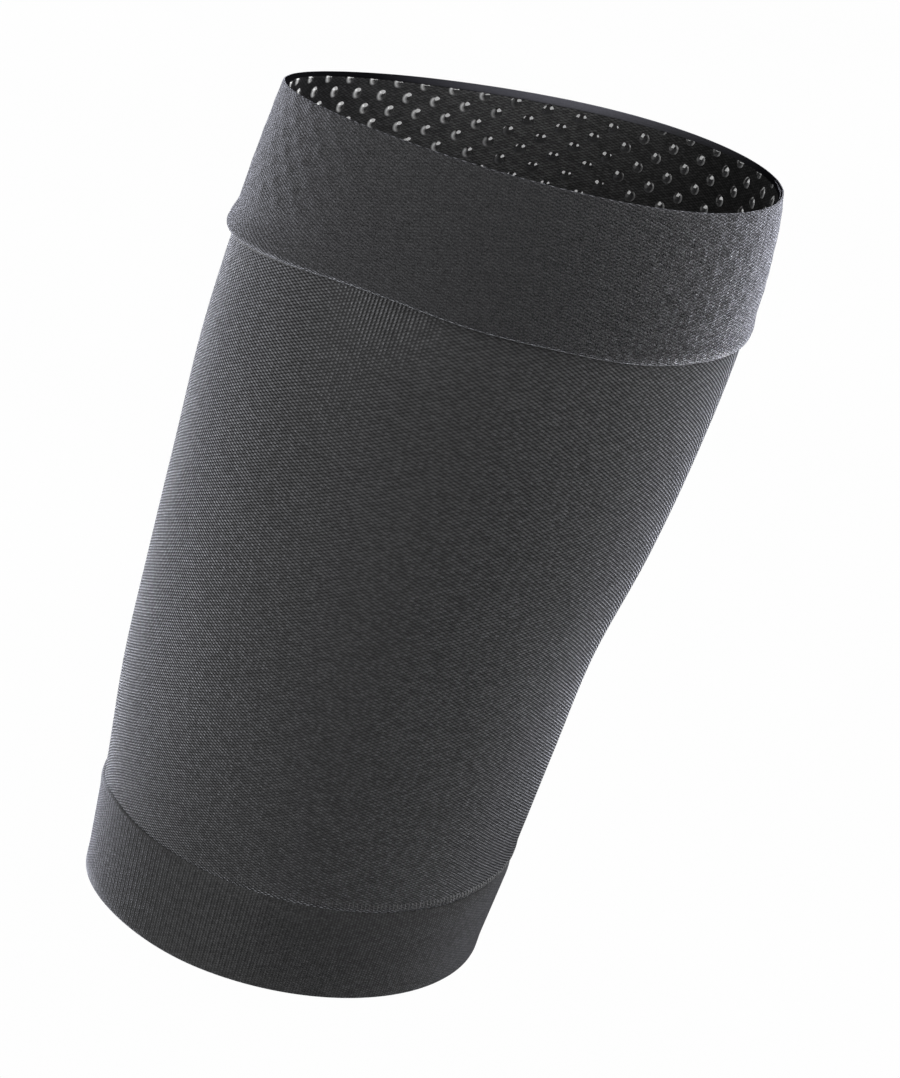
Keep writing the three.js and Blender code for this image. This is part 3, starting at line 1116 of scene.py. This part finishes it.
def lining_material():
    """Black close knit without gloss, darkened by painted shade away from the back."""
    material, tree, shader = new_material("lining_knit")
    across, down = pattern_axes(tree, LINING_PAIRS, LINING_COURSE)
    rising, falling = slants(tree, across, down)
    loop = swing(tree, both_slants(tree, rising, falling), LINING_LOOPS)
    uneven = swing(tree, chance(tree, rising, falling), LINING_UNEVEN)
    fibre = noise(tree, FIBRE_SCALE)
    tone = times(tree, loop, uneven, swing(tree, fibre, LINING_FIBRE), vertex_value(tree, PAINTED_SHADE))
    surface(tree, shader, tint(tree, LINING_COLOUR, tone), bump(tree, fibre, FIBRE_RELIEF))
    cloth_finish(tree, shader, 0)
    shader.inputs["IOR"].default_value = NO_GLOSS_IOR
    return material


def cuff_material():
    """Ribbing: the ribs are in the mesh, and fine stitches cross them."""
    material, tree, shader = new_material("cuff_rib")
    across, down = pattern_axes(tree, RIBS, CUFF_COURSE)
    down = wandering(tree, down, CUFF_DRIFT_SCALE, CUFF_DRIFT)
    rising, falling = slants(tree, across, down)
    loop = both_slants(tree, rising, falling)
    uneven = swing(tree, chance(tree, rising, falling), KNIT_UNEVEN)
    fibre = noise(tree, FIBRE_SCALE)
    wale = swing(tree, crest(tree, times(tree, across, 2)), CUFF_WALES)
    tone = times(tree, swing(tree, loop, CUFF_LOOPS), uneven, swing(tree, fibre, KNIT_FIBRE), wale)
    # painted shade darkens the cuff's colour, and painted sheen from the mesh turns its sheen up and down
    shade = times(tree, tone, vertex_value(tree, PAINTED_SHADE))
    height = total(tree, times(tree, loop, uneven), times(tree, fibre, CUFF_FIBRE_RELIEF))
    surface(tree, shader, tint(tree, CUFF_COLOUR, shade), bump(tree, height, CUFF_RELIEF))
    cloth_finish(tree, shader, times(tree, tone, vertex_value(tree, PAINTED_LIGHT), KNIT_SHEEN))
    return material


def silicone_material():
    """Glossy silicone, as dark as the cloth behind it, with painted light that evens its shading and
    painted glints where light gathers.
    """
    material, tree, shader = new_material("silicone")
    cloud = noise(tree, CLOUD_SCALE)
    # painted light: paler where a dot's face turns from the light, plus painted glints
    behind = times(tree, vertex_value(tree, PAINTED_FILL), swing(tree, cloud, SILICONE_CLOUD))
    tone = total(tree, behind, times(tree, vertex_value(tree, GLINT), SILICONE_GLINT))
    surface(tree, shader, tint(tree, SILICONE_COLOUR, tone), bump(tree, cloud, SMOOTH_RELIEF))
    plug(tree, shader.inputs["Roughness"], span(tree, cloud, *SILICONE_ROUGHNESS))
    shader.inputs["Specular IOR Level"].default_value = SILICONE_SPECULAR
    shader.inputs["IOR"].default_value = SILICONE_IOR
    return material


def thread_material(name, colour):
    """Twisted thread."""
    material, tree, shader = new_material(name)
    fibre = noise(tree, THREAD_SCALE)
    tone = swing(tree, fibre, THREAD_FIBRE)
    surface(tree, shader, tint(tree, colour, tone), bump(tree, fibre, FIBRE_RELIEF))
    cloth_finish(tree, shader, THREAD_SHEEN)
    return material


# Studio

def studio_floor():
    """A plain pale floor well below the sleeve."""
    half = FLOOR_SIZE / 2
    corners = np.array([(-half, -half, 0), (half, -half, 0), (half, half, 0), (-half, half, 0)])
    floor = add_piece("floor", corners + np.array([0, 0, FLOOR_LEVEL]), np.array([[0, 1, 2, 3]]))
    floor.visible_diffuse = False
    floor.visible_glossy = False
    material, tree, shader = new_material("floor")
    tone = span(tree, noise(tree, FLOOR_SCALE), *FLOOR_TONE)
    shader.inputs["Base Color"].default_value = (0, 0, 0, 1)
    shader.inputs["Specular IOR Level"].default_value = 0.0
    shader.inputs["Emission Strength"].default_value = 1.0
    plug(tree, shader.inputs["Emission Color"], tint(tree, (1, 1, 1), tone))
    floor.data.materials.append(material)


def studio_world():
    """A white backdrop that lights nothing."""
    world = bpy.data.worlds.new("studio")
    world.use_nodes = True
    background = world.node_tree.nodes["Background"]
    background.inputs["Color"].default_value = (1, 1, 1, 1)
    background.inputs["Strength"].default_value = 1.0
    world.cycles_visibility.diffuse = False
    world.cycles_visibility.glossy = False
    bpy.context.scene.world = world


def softbox(name, azimuth, elevation, distance, width, height, radiance):
    """A light of even brightness, aimed at the sleeve from an azimuth and elevation in degrees."""
    turn = math.radians(azimuth)
    rise = math.radians(elevation)
    outward = Vector((math.cos(turn) * math.cos(rise), math.sin(turn) * math.cos(rise), math.sin(rise)))
    light = bpy.data.lights.new(name, "AREA")
    light.shape = "RECTANGLE"
    light.size = width
    light.size_y = height
    light.energy = radiance * math.pi * width * height
    if name in COOL_LIGHTS:
        light.color = COOL_WHITE
    box = bpy.data.objects.new(name, light)
    box.location = CAMERA_TARGET + outward * distance
    box.rotation_mode = "QUATERNION"
    box.rotation_quaternion = outward.to_track_quat("Z", "Y")
    box.visible_camera = False
    bpy.context.scene.collection.objects.link(box)
    return box


def light_apart(box, piece, state):
    """Lets a softbox light everything but one piece, or that piece alone."""
    chosen = bpy.data.collections.new(box.name)
    chosen.objects.link(piece)
    chosen.collection_objects[0].light_linking.link_state = state
    box.light_linking.receiver_collection = chosen


def studio_lights(dots):
    """Softboxes at both sides, behind and low in front for the cloth, and others that only the dots see."""
    for name, numbers in CLOTH_LIGHTS.items():
        light_apart(softbox(name, *numbers), dots, "EXCLUDE")
    for name, numbers in DOT_LIGHTS.items():
        light_apart(softbox(name, *numbers), dots, "INCLUDE")


def photo_camera():
    """A camera at the photograph's angle, rolled as the photograph is."""
    up = Vector((0, math.sin(CAMERA_ELEVATION), math.cos(CAMERA_ELEVATION)))
    back = Vector((0, -math.cos(CAMERA_ELEVATION), math.sin(CAMERA_ELEVATION)))
    rolled_up = math.cos(CAMERA_ROLL) * up - math.sin(CAMERA_ROLL) * Vector((1, 0, 0))
    place = CAMERA_TARGET + CAMERA_DISTANCE * back
    depth_axis = (place - CAMERA_AIM).normalized()
    right_axis = rolled_up.cross(depth_axis).normalized()
    up_axis = depth_axis.cross(right_axis)
    turn = Matrix((right_axis, up_axis, depth_axis)).transposed().to_4x4()
    camera = bpy.data.cameras.new("camera")
    camera.sensor_width = SENSOR
    camera.lens = LENS
    rig = bpy.data.objects.new("camera", camera)
    rig.matrix_world = Matrix.Translation(place) @ turn
    bpy.context.scene.collection.objects.link(rig)
    bpy.context.scene.camera = rig


def dress(piece, material, node=None):
    """Gives a piece its material and its place in the frame."""
    piece.data.materials.append(material)
    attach(piece, "root")
    if node:
        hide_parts(node)


photo_camera()
studio_world()
studio_floor()
bpy.context.scene.view_settings.view_transform = "Standard"

tube = knit_tube()
band = knit_band()
lining = inner_ply()
dots = grip_dots()
cuff = rib_cuff()
stitches = seam_stitches()
bead = hem_bead()
tape = rim_tape()

dress(tube, body_material(), "sleeve_body")
dress(band, band_material(), "grip_band")
dress(lining, lining_material(), "grip_lining")
dress(dots, silicone_material())
dots.visible_shadow = False
dress(cuff, cuff_material(), "lower_cuff")
dress(stitches, thread_material("seam_thread", SEAM_COLOUR))
# the rolled edge's paler colour is painted sheen along the fold
dress(bead, thread_material("hem_edge", HEM_EDGE_PAINTED_SHEEN))
dress(tape, tape_material())
studio_lights(dots)
